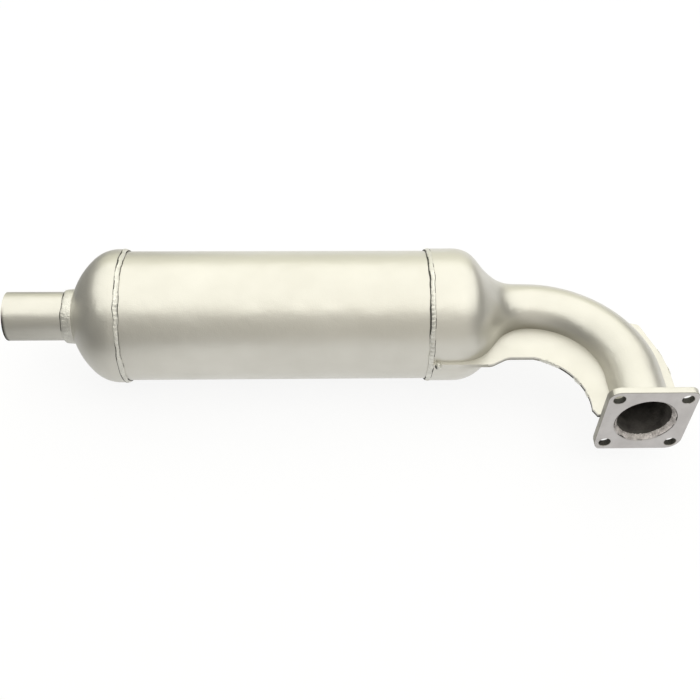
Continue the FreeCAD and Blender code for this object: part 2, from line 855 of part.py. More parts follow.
def ring_plate(name, centre, inner, outer):
    """The two seam flange sheets close to a round edge, as one flat ring, or a disc if inner is None."""
    plates = []
    for word, radius in (("outer", outer), ("inner", inner)):
        if radius is None:
            continue
        plate = doc.addObject("Part::Cylinder", f"{name}_{word}")
        bind(plate, "Radius", radius)
        bind(plate, "Height", size.cap_sheet * 2.0)
        put(plate, *centre, -size.cap_sheet)
        plates.append(plate)
    return cut_from(f"{name}_ring", *plates) if len(plates) == 2 else plates[0]


def make_stitches(name, centre, radius, stitches, sheets):
    """Short straight beads along a round edge, less the sheets that they join."""
    beads = []
    for i, (start, sweep) in enumerate(stitches):
        middle = start + sweep / 2.0
        half_run = radius * sine(sweep / 2.0)
        reach = radius * cosine(sweep / 2.0)
        bead = doc.addObject("Part::Cylinder", f"{name}_bead_{i}")
        bind(bead, "Radius", size.stitch_radius)
        bind(bead, "Height", 2.0 * half_run)
        bead.Placement = Placement(Vector(), Rotation(UPRIGHT, middle).multiply(Rotation(ACROSS, -90)))
        put(
            bead,
            centre[0] + reach * cosine(middle) + half_run * sine(middle),
            centre[1] + reach * sine(middle) - half_run * cosine(middle),
        )
        beads.append(cut_from(f"{name}_stitch_{i}", bead, sheets))
    return beads


def make_seam_stitches():
    margin = size.stitch_radius * 2.0
    centre = arc_centre(*web_edge(), size.web_radius)
    sheets = ring_plate("web_sheets", centre, size.web_radius, size.web_radius + margin)
    keep(group("web_edge_welds", make_stitches("web", centre, size.web_radius, WEB_STITCHES, sheets)))
    bend = (bend_x, size.leg_length)
    near = ring_plate("fin_sheets", bend, None, fin_radius)
    far = ring_plate("far_fin_sheets", bend, None, fin_radius_far)
    fins = make_stitches("fin", bend, fin_radius, FIN_STITCHES, near)
    fins += make_stitches("far_fin", bend, fin_radius_far, FAR_FIN_STITCHES, far)
    keep(group("fin_edge_welds", fins))


# Tack welds where the seam lips start, on the near and the far side of the body.
def make_tacks():
    tacks = []
    for word, side in (("near", -1.0), ("far", 1.0)):
        tack = doc.addObject("Part::Cylinder", f"{word}_tack")
        bind(tack, "Radius", size.tack_radius)
        bind(tack, "Height", size.tack_length)
        tack.Placement = Placement(Vector(), Rotation(DEEP, 90))
        put(tack, inlet_edge_x + size.tack_place - size.tack_length / 2.0, axis_y + side * lip_radius)
        lip = doc.addObject("Part::Box", f"{word}_lip")
        bind(lip, "Length", size.tack_place * 2.0)
        bind(lip, "Width", size.lip_width)
        bind(lip, "Height", size.cap_sheet * 2.0)
        low_y = axis_y - lip_radius if side < 0 else axis_y + cap_outside
        put(lip, inlet_edge_x, low_y, -size.cap_sheet)
        tacks.append(cut_from(f"{word}_tack_weld", tack, lip))
    keep(group("lip_tack_welds", tacks))


# Long seam weld of the rolled shell, on the side away from the elbow's opening.
def make_seam_weld():
    left = outlet_edge_x + size.lap_weld + size.weld_gap
    right = inlet_edge_x - size.lap_weld - size.weld_gap
    bead = doc.addObject("Part::Cylinder", "seam_bead")
    bind(bead, "Radius", size.seam_weld_radius)
    bind(bead, "Height", right - left)
    bead.Placement = Placement(Vector(), Rotation(DEEP, 90))
    put(bead, left, axis_y + size.shell_radius - size.seam_weld_sink)
    inside = doc.addObject("Part::Cylinder", "seam_shell")
    bind(inside, "Radius", size.shell_radius)
    bind(inside, "Height", right - left + 2.0 * size.weld_gap)
    inside.Placement = Placement(Vector(), Rotation(DEEP, 90))
    put(inside, left - size.weld_gap, axis_y)
    weld = cut_from("body_seam_weld", bead, inside)
    weld.Label = "body_seam_weld"
    keep(weld)


make_body_shell()
make_seam_weld()
make_outlet_end_cap()
make_lap_weld("outlet_cap_weld", outlet_edge_x, -1, notched=False)
make_outlet_pipe()
make_plug(
    "outlet_pipe_plug",
    axis_y,
    outlet_edge_x + size.outlet_inside,
    -1,
    size.outlet_radius,
)
make_outlet_pipe_weld()
make_inlet_tube()
make_plug(
    "inlet_tube_plug",
    neck_y,
    inlet_edge_x - size.inlet_tube_reach,
    1,
    inlet_tube_radius,
)
make_baffle(
    "inlet_baffle",
    inlet_edge_x - size.inlet_baffle_place,
    1,
    inlet_tube_radius,
    size.neck_offset,
)
make_baffle(
    "outlet_baffle",
    outlet_edge_x + size.outlet_baffle_place,
    -1,
    size.outlet_radius,
    as_length(0.0),
)
make_lower_half_shell(make_upper_half_shell())
make_lap_weld("inlet_cap_weld", inlet_edge_x, 1, notched=True)
make_flange()
make_flange_weld()
make_bore_weld()
make_seam_stitches()
make_tacks()
doc.recompute()

for thing in doc.Objects:
    if "Invalid" in thing.State or "Error" in thing.State:
        raise RuntimeError(f"{thing.Name} failed: {thing.State}")
    if thing.TypeId == "PartDesign::Pocket":
        if thing.Shape.Volume >= thing.BaseFeature.Shape.Volume:
            raise RuntimeError(f"{thing.Name} cuts nothing")

for piece in pieces:
    if piece.Shape.isNull() or not piece.Shape.isValid():
        raise RuntimeError(f"{piece.Label} has no valid shape")

os.makedirs("parts", exist_ok=True)
for piece in pieces:
    piece.Shape.exportStep(f"parts/{piece.Label}.step")
    print(piece.Label, "solids", len(piece.Shape.Solids), "volume", round(piece.Shape.Volume))
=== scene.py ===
import math

import bmesh
import bpy
from mathutils import Matrix, Vector, noise


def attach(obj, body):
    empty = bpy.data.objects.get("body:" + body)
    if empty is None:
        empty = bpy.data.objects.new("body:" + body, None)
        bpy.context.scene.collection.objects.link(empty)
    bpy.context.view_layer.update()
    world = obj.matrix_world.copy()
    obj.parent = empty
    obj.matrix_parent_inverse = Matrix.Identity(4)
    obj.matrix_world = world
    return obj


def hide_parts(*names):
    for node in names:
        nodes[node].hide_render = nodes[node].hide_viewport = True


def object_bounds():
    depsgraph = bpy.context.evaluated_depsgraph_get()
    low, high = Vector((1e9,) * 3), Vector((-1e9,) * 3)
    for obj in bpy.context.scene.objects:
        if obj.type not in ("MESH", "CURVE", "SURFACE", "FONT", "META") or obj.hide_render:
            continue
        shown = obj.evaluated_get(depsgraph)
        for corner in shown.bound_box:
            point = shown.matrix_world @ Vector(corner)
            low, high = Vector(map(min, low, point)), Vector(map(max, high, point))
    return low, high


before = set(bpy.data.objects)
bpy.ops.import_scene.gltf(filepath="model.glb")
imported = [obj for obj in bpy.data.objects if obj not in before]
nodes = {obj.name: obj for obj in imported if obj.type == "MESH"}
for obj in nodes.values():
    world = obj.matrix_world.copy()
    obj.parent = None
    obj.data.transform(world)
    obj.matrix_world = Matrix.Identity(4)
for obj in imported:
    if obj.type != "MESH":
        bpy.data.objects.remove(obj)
cad_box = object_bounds()

MM = 0.001
TURN = 2.0 * math.pi

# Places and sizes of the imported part. The body's axis runs along X at AXIS_Y, the elbow's leg along Y.
AXIS_Y = 138.7 * MM
BEND_CENTRE = Vector((-91.1 * MM, 52.3 * MM, 0.0))
BEND_RADIUS = 91.1 * MM
TUBE_RADIUS = 26.9 * MM
SHEET = 2.0 * MM
SHELL_RADIUS = 64.0 * MM
CAP_RADIUS = 66.2 * MM
LIP_RADIUS = 69.4 * MM
INLET_EDGE = -189.2 * MM
OUTLET_EDGE = -488.0 * MM
PIPE_RADIUS = 24.15 * MM
CROWN_RADIUS = 76.786 * MM
CROWN_CENTRE = -466.514 * MM
FLANGE_HALF = 41.0 * MM
FLANGE_THICK = 7.0 * MM
BOLT_PLACE = 31.0 * MM
BOLT_RADIUS = 5.5 * MM
FLANGE_BORE = 27.3 * MM
BORE_BEVEL = 1.3 * MM
TUBE_RECESS = 5.5 * MM
FLOOR_Z = -67.2 * MM


# Building blocks of the materials
def new_material(name):
    material = bpy.data.materials.new(name)
    material.use_nodes = True
    tree = material.node_tree
    shader = tree.nodes["Principled BSDF"]
    return material, tree, shader


def feed(tree, socket, value):
    """Links another node's output to a socket, or sets the socket to a plain value."""
    if isinstance(value, bpy.types.NodeSocket):
        tree.links.new(value, socket)
    else:
        socket.default_value = value


def map_range(tree, value, from_low, from_high, to_low=0.0, to_high=1.0):
    """Goes from to_low to to_high as the value goes from from_low to from_high, and stays there."""
    node = tree.nodes.new("ShaderNodeMapRange")
    node.inputs["From Min"].default_value = from_low
    node.inputs["From Max"].default_value = from_high
    node.inputs["To Min"].default_value = to_low
    node.inputs["To Max"].default_value = to_high
    tree.links.new(value, node.inputs["Value"])
    return node.outputs["Result"]


def calculate(tree, operation, *values):
    node = tree.nodes.new("ShaderNodeMath")
    node.operation = operation
    for socket, value in zip(node.inputs, values):
        feed(tree, socket, value)
    return node.outputs[0]


def product(tree, *shares):
    result = shares[0]
    for share in shares[1:]:
        result = calculate(tree, "MULTIPLY", result, share)
    return result


def mix_colours(tree, share, first, second):
    """Blends two colours, each an (r, g, b) triple or another node's output."""
    mix = tree.nodes.new("ShaderNodeMix")
    mix.data_type = "RGBA"
    for name, colour in (("A", first), ("B", second)):
        feed(tree, mix.inputs[name], (*colour, 1.0) if isinstance(colour, tuple) else colour)
    tree.links.new(share, mix.inputs["Factor"])
    return mix.outputs["Result"]


def mix_shaders(tree, share, first, second):
    mix = tree.nodes.new("ShaderNodeMixShader")
    for socket, output in zip(mix.inputs, (share, first, second)):
        tree.links.new(output, socket)
    return mix.outputs[0]


def axes_of(tree, node_type, output):
    """The three parts of a coordinate or direction."""
    source = tree.nodes.new(node_type)
    parts = tree.nodes.new("ShaderNodeSeparateXYZ")
    tree.links.new(source.outputs[output], parts.inputs[0])
    return parts.outputs


# The values that a noise texture mostly stays between.
NOISE_LOW = 0.35
NOISE_HIGH = 0.65


def noise_value(tree, scale, detail, low, high):
    """A noise in object space, spread between two values."""
    place = tree.nodes.new("ShaderNodeTexCoord")
    field = tree.nodes.new("ShaderNodeTexNoise")
    field.inputs["Scale"].default_value = scale
    field.inputs["Detail"].default_value = detail
    tree.links.new(place.outputs["Object"], field.inputs["Vector"])
    return map_range(tree, field.outputs["Fac"], NOISE_LOW, NOISE_HIGH, low, high)


def add_bumps(tree, shader, layers):
    """Chained bumps. Each layer is (noise scale, detail, height)."""
    normal = None
    for scale, detail, height in layers:
        bump = tree.nodes.new("ShaderNodeBump")
        bump.inputs["Distance"].default_value = height
        bump.inputs["Strength"].default_value = 1.0
        tree.links.new(noise_value(tree, scale, detail, 0.0, 1.0), bump.inputs["Height"])
        if normal is not None:
            tree.links.new(normal, bump.inputs["Normal"])
        normal = bump.outputs["Normal"]
    tree.links.new(normal, shader.inputs["Normal"])


def coated_metal(name, light, dark, metallic, rough, patch, bumps):
    """A metallic coat whose tone and gloss drift over the surface. patch is the drift's noise scale."""
    gloss_change = 0.03
    gloss_patch = 4.0 * patch
    material, tree, shader = new_material(name)
    tone = noise_value(tree, patch, 3.0, 0.0, 1.0)
    tree.links.new(mix_colours(tree, tone, light, dark), shader.inputs["Base Color"])
    gloss = noise_value(tree, gloss_patch, 4.0, rough - gloss_change, rough + gloss_change)
    tree.links.new(gloss, shader.inputs["Roughness"])
    shader.inputs["Metallic"].default_value = metallic
    add_bumps(tree, shader, bumps)
    return material


# Materials. The tail pipe and the duct have the satin coat too, the pipe with a burnt rim and the duct
# with painted shade in its crease.
satin_coat, pipe_coat, duct_coat = [
    coated_metal(
        name, light=(0.63, 0.615, 0.56), dark=(0.59, 0.575, 0.52), metallic=0.7, rough=0.34,
        patch=14.0, bumps=((900.0, 2.0, 0.04 * MM), (60.0, 2.0, 0.12 * MM)),
    )
    for name in ("satin_coat", "pipe_coat", "duct_coat")
]
weld_coat = coated_metal(
    "weld_coat", light=(0.72, 0.71, 0.65), dark=(0.60, 0.59, 0.54), metallic=0.7, rough=0.38,
    patch=160.0, bumps=((700.0, 4.0, 0.18 * MM),),
)
flange_coat = coated_metal(
    "flange_coat", light=(0.55, 0.53, 0.52), dark=(0.49, 0.47, 0.46), metallic=0.7, rough=0.40,
    patch=50.0, bumps=((1100.0, 3.0, 0.06 * MM), (150.0, 2.0, 0.10 * MM)),
)
# Painted shade: a dark coat beside weld toes, in the bolt hole walls and on the lower half's cut edge
# near the flange.
deep_shade_coat = coated_metal(
    "deep_shade_coat", light=(0.075, 0.072, 0.062), dark=(0.045, 0.043, 0.037), metallic=0.1, rough=0.7,
    patch=120.0, bumps=((700.0, 4.0, 0.12 * MM),),
)
# Painted shade, lighter: for the flange plate's shaded rim and the lower half's cut edge further from
# the flange.
edge_shade_coat = coated_metal(
    "edge_shade_coat", light=(0.34, 0.33, 0.29), dark=(0.26, 0.25, 0.22), metallic=0.4, rough=0.5,
    patch=90.0, bumps=((700.0, 4.0, 0.08 * MM),),
)
bore_weld_coat = coated_metal(
    "bore_weld_coat", light=(0.80, 0.75, 0.73), dark=(0.50, 0.47, 0.45), metallic=0.7, rough=0.42,
    patch=200.0, bumps=((900.0, 5.0, 0.35 * MM),),
)
soot = coated_metal(
    "soot", light=(0.07, 0.065, 0.06), dark=(0.15, 0.14, 0.13), metallic=0.3, rough=0.62,
    patch=90.0, bumps=((500.0, 4.0, 0.2 * MM),),
)
inner_steel = coated_metal(
    "inner_steel", light=(0.30, 0.29, 0.28), dark=(0.20, 0.19, 0.18), metallic=0.9, rough=0.45,
    patch=60.0, bumps=((600.0, 3.0, 0.08 * MM),),
)


def darken(tree, share, colour):
    """Turns the coat to a darker colour by a share from 0 to 1."""
    coat = tree.nodes["Principled BSDF"].inputs["Base Color"]
    before = coat.links[0].from_socket
    tree.links.new(mix_colours(tree, share, before, colour), coat)


def burn_rim(tree, rim_x, depth):
    """Burns the coat dark close to the tail pipe's mouth, on the side towards -Y."""
    burnt = (0.05, 0.047, 0.04)
    full_depth = 0.3 * depth
    side_start = AXIS_Y - 0.35 * PIPE_RADIUS
    side_full = AXIS_Y - 0.85 * PIPE_RADIUS
    place = axes_of(tree, "ShaderNodeTexCoord", "Object")
    near = map_range(tree, place["X"], rim_x + depth, rim_x + full_depth)
    side = map_range(tree, place["Y"], side_start, side_full)
    darken(tree, product(tree, near, side), burnt)


def shade_crease(tree):
    """Paints shade on the duct where it meets the seam flange, most of all where the bend starts."""
    shaded = (0.27, 0.255, 0.21)
    reach = 16.0 * MM
    start_x = -165.0 * MM
    full_from_x = -125.0 * MM
    full_to_x = -92.0 * MM
    end_x = 15.0 * MM
    place = axes_of(tree, "ShaderNodeTexCoord", "Object")
    facing = axes_of(tree, "ShaderNodeNewGeometry", "Normal")
    near = map_range(tree, calculate(tree, "ABSOLUTE", place["Z"]), reach, SHEET)
    start = map_range(tree, place["X"], start_x, full_from_x)
    end = map_range(tree, place["X"], end_x, full_to_x)
    upright = map_range(tree, calculate(tree, "ABSOLUTE", facing["Z"]), 0.75, 0.4)
    darken(tree, product(tree, near, upright, start, end), shaded)


burn_rim(pipe_coat.node_tree, cad_box[0][0], 3.2 * MM)
shade_crease(duct_coat.node_tree)


# Detailed pieces are meshes that ride on the one body and stand for a plain node.
def finish_piece(name, mesh, materials, node):
    piece = bpy.data.objects.new(name, mesh)
    bpy.context.scene.collection.objects.link(piece)
    for material in materials:
        mesh.materials.append(material)
    for face in mesh.polygons:
        face.use_smooth = True
    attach(piece, "root")
    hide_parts(node)
    return piece


def mesh_of(name, builder):
    shape = bmesh.new()
    builder(shape)
    bmesh.ops.recalc_face_normals(shape, faces=shape.faces)
    mesh = bpy.data.meshes.new(name)
    shape.to_mesh(mesh)
    shape.free()
    return mesh


def join_rings(shape, low, high, is_toe=None):
    """A band of faces between two closed rings. The faces that is_toe picks get the second material."""
    for j in range(len(low)):
        k = (j + 1) % len(low)
        face = shape.faces.new((low[j], low[k], high[k], high[j]))
        face.material_index = 1 if is_toe and is_toe(j) else 0


def skin(shape, rings, closed_run, is_toe=None):
    """Faces between successive closed rings, with flat ends where the run is open.

    Faces that is_toe picks by ring and strip get the second material.
    """
    made = [[shape.verts.new(point) for point in ring] for ring in rings]
    bands = len(made) if closed_run else len(made) - 1
    for i in range(bands):
        band_toe = (lambda j: is_toe(i, j)) if is_toe else None
        join_rings(shape, made[i], made[(i + 1) % len(made)], band_toe)
    if not closed_run:
        shape.faces.new(made[0])
        shape.faces.new(made[-1][::-1])


def mesh_of_rings(name, rings, closed_run, is_toe=None):
    return mesh_of(name, lambda shape: skin(shape, rings, closed_run, is_toe))


# Surface of the welds. A weld's scales bow along its middle and lean along its run.
SCALE_BOW = 0.30
SCALE_LEAN = 0.7
DRIFT_GAIN = 1.8


def ripple(run, pitch, across):
    """Height share of a weld's overlapping scales: 0 in a groove, 1 on a scale's crest."""
    phase = (run / pitch + SCALE_BOW * across * across) % 1.0
    return math.sin(math.pi * phase ** SCALE_LEAN)


def drift(seed, run, length):
    """Slow irregular change along a weld, about -1 to 1."""
    return DRIFT_GAIN * noise.noise(Vector((run / length, seed * 7.3, 0.5 * seed)))


def swell_at(across):
    """Height share of a round bead at a place across it, from -1 to 1."""
    return math.sqrt(max(0.0, 1.0 - across * across))


# Sections of the welds: the strips across a bead, and how deep its toes and its corner sink in.
ARC_STEPS = 12
SINK = 0.03 * MM
CORNER_SINK = 0.3 * MM


def toe_shade_marker(steps, seed, reach_low, reach_high, unshaded_from, unshaded_to):
    """Picks the strips beside a weld's two toes that get painted shade, wider and narrower along the
    run.

    The first toe stays without painted shade between two angles in degrees.
    """
    change = 1.3
    change_steps = 24.0
    unshaded_depth = 4.0
    unshaded_fade = 14.0

    def is_toe(i, j):
        near_low = j < ARC_STEPS / 2
        reach = reach_low if near_low else reach_high
        reach += change * drift(seed + near_low, i, change_steps)
        angle = 360.0 * i / steps
        if near_low and unshaded_from < angle < unshaded_to:
            reach -= unshaded_depth * min(1.0, (angle - unshaded_from) / unshaded_fade)
        return j <= ARC_STEPS and min(j, abs(ARC_STEPS - 1 - j)) < reach

    return is_toe


def fillet_ring(first_toe, second_toe, corner, bulge, run, pitch, depth):
    """Section of a fillet weld from toe to toe, with its corner buried, as (along, out) pairs."""
    chord = (second_toe[0] - first_toe[0], second_toe[1] - first_toe[1])
    length = math.hypot(*chord)
    normal = (-chord[1] / length, chord[0] / length)
    middle = ((first_toe[0] + second_toe[0]) / 2.0, (first_toe[1] + second_toe[1]) / 2.0)
    side = (middle[0] - corner[0]) * normal[0] + (middle[1] - corner[1]) * normal[1]
    if side < 0:
        normal = (-normal[0], -normal[1])
    points = []
    for i in range(ARC_STEPS + 1):
        share = i / ARC_STEPS
        across = 2.0 * share - 1.0
        swell = swell_at(across)
        height = bulge * swell + depth * (ripple(run, pitch, across) - 0.5) * swell
        points.append((
            first_toe[0] + chord[0] * share + normal[0] * height,
            first_toe[1] + chord[1] * share + normal[1] * height,
        ))
    points.append(corner)
    return points


def blob_ring(point, across, out, half_width, half_height, run, pitch, depth):
    """Round section of a stitch weld, centred on the edge that it lies on."""
    ring = []
    for i in range(2 * ARC_STEPS):
        angle = TURN * i / (2 * ARC_STEPS)
        scale = 1.0 + depth * (ripple(run, pitch, math.cos(angle)) - 0.5)
        ring.append(
            point
            + across * (half_width * scale * math.cos(angle))
            + out * (half_height * scale * math.sin(angle))
        )
    return ring


def body_ring(angle, section):
    """A section of (x, radius) pairs, turned about the body's axis."""
    return [
        Vector((x, AXIS_Y + r * math.cos(angle), r * math.sin(angle)))
        for x, r in section
    ]


def leg_ring(angle, section):
    """A section of (radius, y) pairs, turned about the elbow leg's axis."""
    return [Vector((r * math.cos(angle), y, r * math.sin(angle))) for r, y in section]


def dome_x(radius):
    """Where the outlet cap's outside lies at a distance from its axis."""
    return CROWN_CENTRE - math.sqrt(CROWN_RADIUS ** 2 - radius ** 2)


# Angles about the body's axis: where the hand-laid lap welds are roughest, and, in degrees, where the
# part of their toes without painted shade ends.
ROUGH_SIDE = math.radians(215.0)
LAP_UNSHADED_TO = 205.0


def make_lap_weld(name, edge, toward_cap, on_shell, on_cap, seed, reach_low, reach_high, unshaded_from):
    """A ring weld on a cap's edge, which reaches over the shell and over the cap by two lengths."""
    steps = 620
    pitch = 4.4 * MM
    pulse_waves = 3.0
    wander_waves = (9.0, 5.0)
    mean_radius = (SHELL_RADIUS + CAP_RADIUS) / 2.0
    corner = (edge, SHELL_RADIUS - CORNER_SINK)
    rings = []
    for i in range(steps):
        angle = TURN * i / steps
        along_y = math.cos(angle)
        along_z = math.sin(angle)
        pulse = drift(seed, along_y * pulse_waves, 1.0) + drift(seed + 3, along_z * pulse_waves, 1.0)
        rough = 0.5 + 0.5 * math.cos(angle - ROUGH_SIDE)
        wave = along_y * wander_waves[0] + along_z * wander_waves[1]
        wander = (0.25 + 0.35 * rough) * MM * drift(seed + 5, wave, 1.0)
        shell_toe = (edge - toward_cap * (on_shell + 0.4 * MM * pulse) + wander, SHELL_RADIUS - SINK)
        cap_toe = (edge + toward_cap * (on_cap + 0.3 * MM * pulse) + wander, CAP_RADIUS - SINK)
        bulge = (1.05 + 0.15 * pulse) * MM
        depth = (0.12 + 0.5 * rough) * MM
        section = fillet_ring(shell_toe, cap_toe, corner, bulge, angle * mean_radius, pitch, depth)
        rings.append(body_ring(angle, section))
    # Painted shade on the strips beside the lap weld's toes.
    marker = toe_shade_marker(steps, seed, reach_low, reach_high, unshaded_from, LAP_UNSHADED_TO)
    return mesh_of_rings(name, rings, True, marker)


def make_pipe_weld(name):
    """A heavy bead that rises steeply from the pipe and then runs up to the dome."""
    steps = 480
    pitch = 5.2 * MM
    mean_radius = 27.0 * MM
    pulse_waves = 2.5
    steep_part = 0.25
    crowding = 1.6
    rings = []
    for i in range(steps):
        angle = TURN * i / steps
        run = angle * mean_radius
        pulse = drift(11, math.cos(angle) * pulse_waves, 1.0)
        pulse += drift(14, math.sin(angle) * pulse_waves, 1.0)
        up = (3.3 + 0.3 * pulse) * MM
        crest = (2.1 + 0.25 * pulse) * MM
        toe_x = dome_x(PIPE_RADIUS) - (10.4 + 0.5 * pulse) * MM
        top_x = dome_x(PIPE_RADIUS + up) + SINK
        section = []
        for j in range(ARC_STEPS + 1):
            share = (j / ARC_STEPS) ** crowding
            rise = swell_at(1.0 - min(1.0, share / steep_part))
            scale = 0.3 * MM * (ripple(run, pitch, 2.0 * share - 1.0) - 0.5) * (1.0 - share)
            height = rise * (crest + scale) + (up - crest) * share - SINK
            section.append((toe_x + (top_x - toe_x) * share, PIPE_RADIUS + height))
        section.append((dome_x(PIPE_RADIUS) + CORNER_SINK, PIPE_RADIUS))
        rings.append(body_ring(angle, section))
    # Painted shade along the toe on the pipe's side.
    marker = toe_shade_marker(steps, 33, reach_low=2.6, reach_high=-3.0, unshaded_from=163.0, unshaded_to=212.0)
    return mesh_of_rings(name, rings, True, marker)


def arc_stitch(shape, centre, radius, start, sweep, outward, rise, seed):
    """A stitch weld on a round edge of the seam flange. Its start and sweep are in degrees."""
    step_length = 0.35 * MM
    fewest_steps = 14
    pitch = 3.2 * MM
    half_width = 2.2 * MM
    length = math.radians(sweep) * radius
    steps = max(fewest_steps, int(length / step_length))
    rings = []
    for i in range(steps + 1):
        share = i / steps
        run = share * length
        angle = math.radians(start + sweep * share)
        along = Vector((math.cos(angle), math.sin(angle), 0.0))
        taper = max(0.05, 1.0 - abs(2.0 * share - 1.0) ** 5) ** 0.5
        pulse = 1.0 + 0.12 * drift(seed, run, 3.0 * MM)
        side = 0.35 * MM * drift(seed + 2, run, 5.0 * MM)
        rings.append(blob_ring(
            point=centre + along * radius + Vector((0, 0, side)),
            across=Vector((0, 0, 1)),
            out=along * outward,
            half_width=half_width * taper * pulse,
            half_height=rise * taper * pulse,
            run=run, pitch=pitch, depth=0.22,
        ))
    skin(shape, rings, False)


# The web inside the bend has a round edge through two points. The fin outside it has two radii.
# The stitches on them are runs of (start angle, sweep in degrees, seed).
WEB_CREST = Vector((BEND_CENTRE.x, AXIS_Y - LIP_RADIUS + 9.3 * MM, 0.0))
WEB_SIDE = Vector((-FLANGE_HALF - 5.3 * MM, 14.0 * MM, 0.0))
WEB_RADIUS = 60.0 * MM
FIN_RADIUS = BEND_RADIUS + TUBE_RADIUS + 10.0 * MM
FIN_RADIUS_FAR = BEND_RADIUS + TUBE_RADIUS + 6.5 * MM


def web_centre():
    run = WEB_SIDE - WEB_CREST
    depth = math.sqrt(WEB_RADIUS ** 2 - (run.length / 2.0) ** 2)
    right = Vector((run.y, -run.x, 0.0)).normalized()
    return (WEB_CREST + WEB_SIDE) / 2.0 + right * depth


def make_web_stitches(name):
    runs = (
        (9.0, 7.0, 20),
        (24.0, 10.0, 21),
        (50.0, 20.0, 22),
    )
    rise = 1.3 * MM
    centre = web_centre()

    def build(shape):
        for start, sweep, seed in runs:
            arc_stitch(shape, centre, WEB_RADIUS, start, sweep, -1.0, rise, seed)

    return mesh_of(name, build)


def make_fin_stitches(name):
    runs = (
        (FIN_RADIUS, 1.0, 5.0, 30),
        (FIN_RADIUS, 10.0, 7.0, 31),
        (FIN_RADIUS_FAR, 52.0, 6.0, 40),
        (FIN_RADIUS_FAR, 72.0, 7.0, 41),
    )
    rise = 0.8 * MM

    def build(shape):
        for radius, start, sweep, seed in runs:
            arc_stitch(shape, BEND_CENTRE, radius, start, sweep, 1.0, rise, seed)

    return mesh_of(name, build)


def make_tacks(name):
    """A blob on each side where the seam's lips start, with painted shade to its left. The far one is
    flatter.
    """
    along = 3.1
    over = 3.7
    unevenness = 0.16
    lumps = 2.2
    x = INLET_EDGE + 5.0 * MM

    def build(shape):
        for seed, side, out in ((51, -1.0, 3.6), (57, 1.0, 2.15)):
            place = Vector((x, AXIS_Y + side * LIP_RADIUS, 0.0))
            made = bmesh.ops.create_icosphere(shape, subdivisions=4, radius=1.0)
            for vert in made["verts"]:
                unit = vert.co.normalized()
                swell = 1.0 + unevenness * noise.noise(unit * lumps + Vector((seed, 0, 0)))
                # Painted shade on the blob's left side, below its top.
                in_shade = unit.x < -0.45 and unit.z < 0.5
                for face in vert.link_faces:
                    face.material_index = 1 if in_shade else 0
                size = Vector((unit.x * along, unit.y * out, unit.z * over))
                vert.co = place + size * (MM * swell)

    return mesh_of(name, build)


def make_flange_weld(name):
    """Two runs round the elbow's end, which stop short of the seam flange's sheets."""
    steps = 200
    pitch = 3.6 * MM
    mean_radius = 29.0 * MM
    half_gap = math.asin(2.1 * MM / (TUBE_RADIUS + 2.0 * MM))
    sweep = math.pi - 2.0 * half_gap
    corner = (TUBE_RADIUS - SINK, FLANGE_THICK - SINK)

    def build(shape):
        for first in (half_gap, math.pi + half_gap):
            rings = []
            for i in range(steps + 1):
                angle = first + sweep * i / steps
                run = angle * mean_radius
                leg = (4.3 + 0.3 * drift(61, run, 9.0 * MM)) * MM
                toe = (TUBE_RADIUS + leg, FLANGE_THICK)
                top = (TUBE_RADIUS - SINK, FLANGE_THICK + leg)
                section = fillet_ring(toe, top, corner, 0.6 * MM, run, pitch, 0.5 * MM)
                rings.append(leg_ring(angle, section))
            skin(shape, rings, False)

    return mesh_of(name, build)


def make_bore_weld(name):
    """The rough weld between the flange's bore and the elbow's end."""
    steps = 420
    pitch = 2.6 * MM
    mean_radius = 26.0 * MM
    mouth_radius = FLANGE_BORE + BORE_BEVEL + SINK
    depth_y = TUBE_RECESS + 0.2 * MM
    rings = []
    for i in range(steps):
        angle = TURN * i / steps
        run = angle * mean_radius
        rough = drift(71, run, 2.4 * MM) + 0.6 * drift(77, run, 1.0 * MM)
        lip = (TUBE_RADIUS - SHEET + (0.1 + 0.45 * rough) * MM, depth_y)
        mouth = (mouth_radius, (0.45 + 0.2 * rough) * MM)
        bulge = (0.4 + 0.25 * rough) * MM
        section = fillet_ring(lip, mouth, (mouth_radius, depth_y), bulge, run, pitch, 0.5 * MM)
        rings.append(leg_ring(angle, section))

    # Painted shade along the bead's inner toe and, varying in width, its outer toe.
    def is_toe(i, j):
        outer_reach = 0.4 + 1.8 * drift(61, i, 30.0)
        return j == 0 or ARC_STEPS - 1 - j < outer_reach

    return mesh_of_rings(name, rings, True, is_toe)


def make_seam_weld(name):
    """The rolled shell's long seam, on the side away from the elbow's opening."""
    end_gap = 3.3 * MM
    first = OUTLET_EDGE + end_gap
    last = INLET_EDGE - end_gap
    steps = 560
    pitch = 3.4 * MM
    half_width = 1.75 * MM
    rings = []
    for i in range(steps + 1):
        run = (last - first) * i / steps
        sway = 0.25 * MM * drift(81, run, 14.0 * MM)
        section = []
        for j in range(ARC_STEPS + 1):
            across = 1.0 - 2.0 * j / ARC_STEPS
            height = (0.75 + 0.3 * (ripple(run, pitch, across) - 0.5)) * MM * swell_at(across)
            z = across * half_width + sway
            surface = math.sqrt(SHELL_RADIUS ** 2 - z ** 2) - 0.05 * MM
            section.append(Vector((first + run, AXIS_Y + surface + height, z)))
        section.append(Vector((first + run, AXIS_Y + SHELL_RADIUS - 0.5 * MM, sway)))
        rings.append(section)
    return mesh_of_rings(name, rings, False)


# The bolted flange, with its edges softened as a cut and painted plate's are.
EDGE_SOFTNESS = 0.7 * MM
EDGE_STEPS = 4
CORNER_STEPS = 12
# Each corner's roundings along its two sides, in mm, from +X +Z on round by -X.
FLANGE_CORNERS = ((8.0, 8.0), (11.0, 11.0), (6.5, 14.0), (14.0, 14.0))


